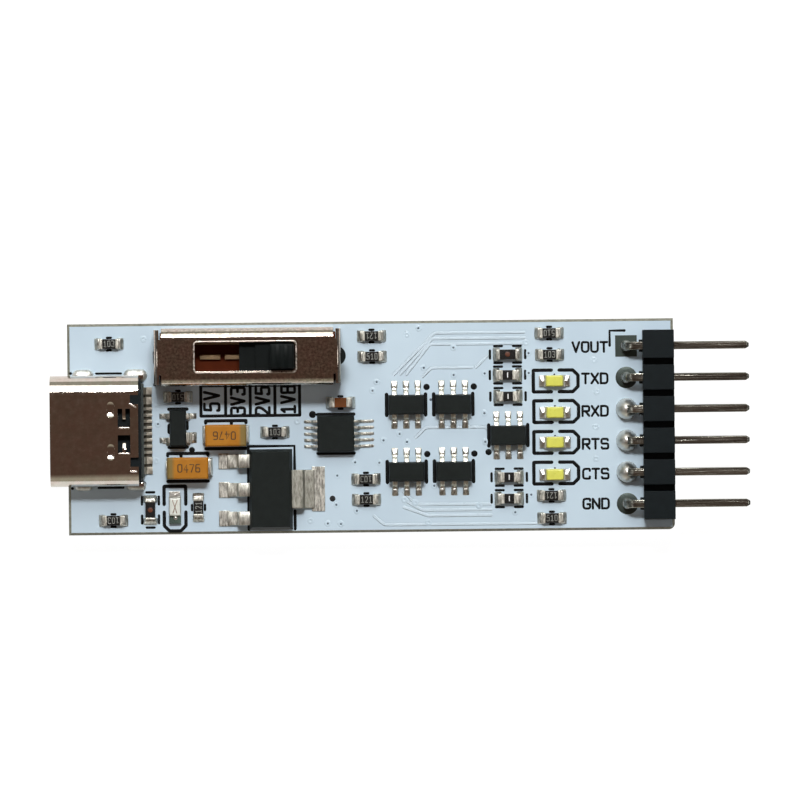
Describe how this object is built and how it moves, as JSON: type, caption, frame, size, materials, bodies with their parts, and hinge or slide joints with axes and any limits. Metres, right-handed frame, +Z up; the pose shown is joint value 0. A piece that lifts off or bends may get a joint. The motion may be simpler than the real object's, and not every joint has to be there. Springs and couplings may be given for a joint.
{
  "type": "usb to serial adapter module",
  "caption": "Small white circuit module that joins a reversible cable socket to a serial pin row, with a slide switch that picks the signal voltage.",
  "frame": {"origin": "middle of the whole module's footprint, level with the ends of the soldered tails it rests on", "axes": "+X from the cable socket towards the pin tips, +Y towards the slide switch's side, +Z up from the board's parts side"},
  "size_m": [0.0562, 0.017, 0.0081],
  "materials": {
    "solder_mask": "glossy white solder mask over glass fibre",
    "stainless_shell": "bright rolled stainless sheet",
    "black_moulding": "moulded black nylon",
    "plated_contact": "thin plated contact strip",
    "plated_steel": "plated pressed steel, slightly mottled",
    "phenolic_base": "brown paper-filled phenolic",
    "silvered_brass": "silver-plated brass strip, a little tarnished",
    "slider_moulding": "moulded black acetal",
    "solder": "bright solder",
    "black_epoxy": "moulded black epoxy",
    "tinned_lead": "satin tin plating",
    "tinned_pin": "dull tin plating",
    "orange_epoxy": "moulded orange epoxy",
    "yellow_lens": "tinted lamp epoxy",
    "clear_lens": "clear lamp epoxy",
    "lamp_carrier": "plated lamp carrier",
    "glazed_chip": "black glaze between tinned caps",
    "brown_ceramic": "brown fired ceramic between tinned caps"
  },
  "bodies": {
    "module": {"bridge_body": "black_epoxy", "bridge_leads": "tinned_lead", "ceramic_capacitor": "brown_ceramic", "chip_fuse_1": "glazed_chip", "chip_fuse_2": "glazed_chip", "circuit_board": "solder_mask", "gate_body_1": "black_epoxy", "gate_body_2": "black_epoxy", "gate_body_3": "black_epoxy", "gate_body_4": "black_epoxy", "gate_body_5": "black_epoxy", "gate_leads": "tinned_lead", "guard_body": "black_epoxy", "guard_leads": "tinned_lead", "header_insulator": "black_moulding", "header_pin_1": "tinned_pin", "header_pin_2": "tinned_pin", "header_pin_3": "tinned_pin", "header_pin_4": "tinned_pin", "header_pin_5": "tinned_pin", "header_pin_6": "tinned_pin", "lamp_bases": "lamp_carrier", "link_1": "glazed_chip", "link_2": "glazed_chip", "link_3": "glazed_chip", "link_4": "glazed_chip", "power_lamp": "clear_lens", "regulator_body": "black_epoxy", "regulator_leads": "tinned_lead", "resistor_1": "glazed_chip", "resistor_10": "glazed_chip", "resistor_11": "glazed_chip", "resistor_12": "glazed_chip", "resistor_13": "glazed_chip", "resistor_2": "glazed_chip", "resistor_3": "glazed_chip", "resistor_4": "glazed_chip", "resistor_5": "glazed_chip", "resistor_6": "glazed_chip", "resistor_7": "glazed_chip", "resistor_8": "glazed_chip", "resistor_9": "glazed_chip", "signal_lamp_1": "yellow_lens", "signal_lamp_2": "yellow_lens", "signal_lamp_3": "yellow_lens", "signal_lamp_4": "yellow_lens", "solder_joints": "solder", "switch_base": "phenolic_base", "switch_contacts": "silvered_brass", "switch_cover": "plated_steel", "tantalum_capacitor_1": "orange_epoxy", "tantalum_capacitor_2": "orange_epoxy", "tantalum_straps": "tinned_lead", "usb_contacts": "plated_contact", "usb_shell": "stainless_shell", "usb_tongue": "black_moulding"},
    "slider": {"switch_slider": "slider_moulding", "switch_wiper": "silvered_brass"}
  },
  "joints": [
    {"name": "slider_travel", "type": "slide", "parent": "module", "child": "slider", "axis": [-1, 0, 0], "range_m": [0, 0.006]}
  ]
}
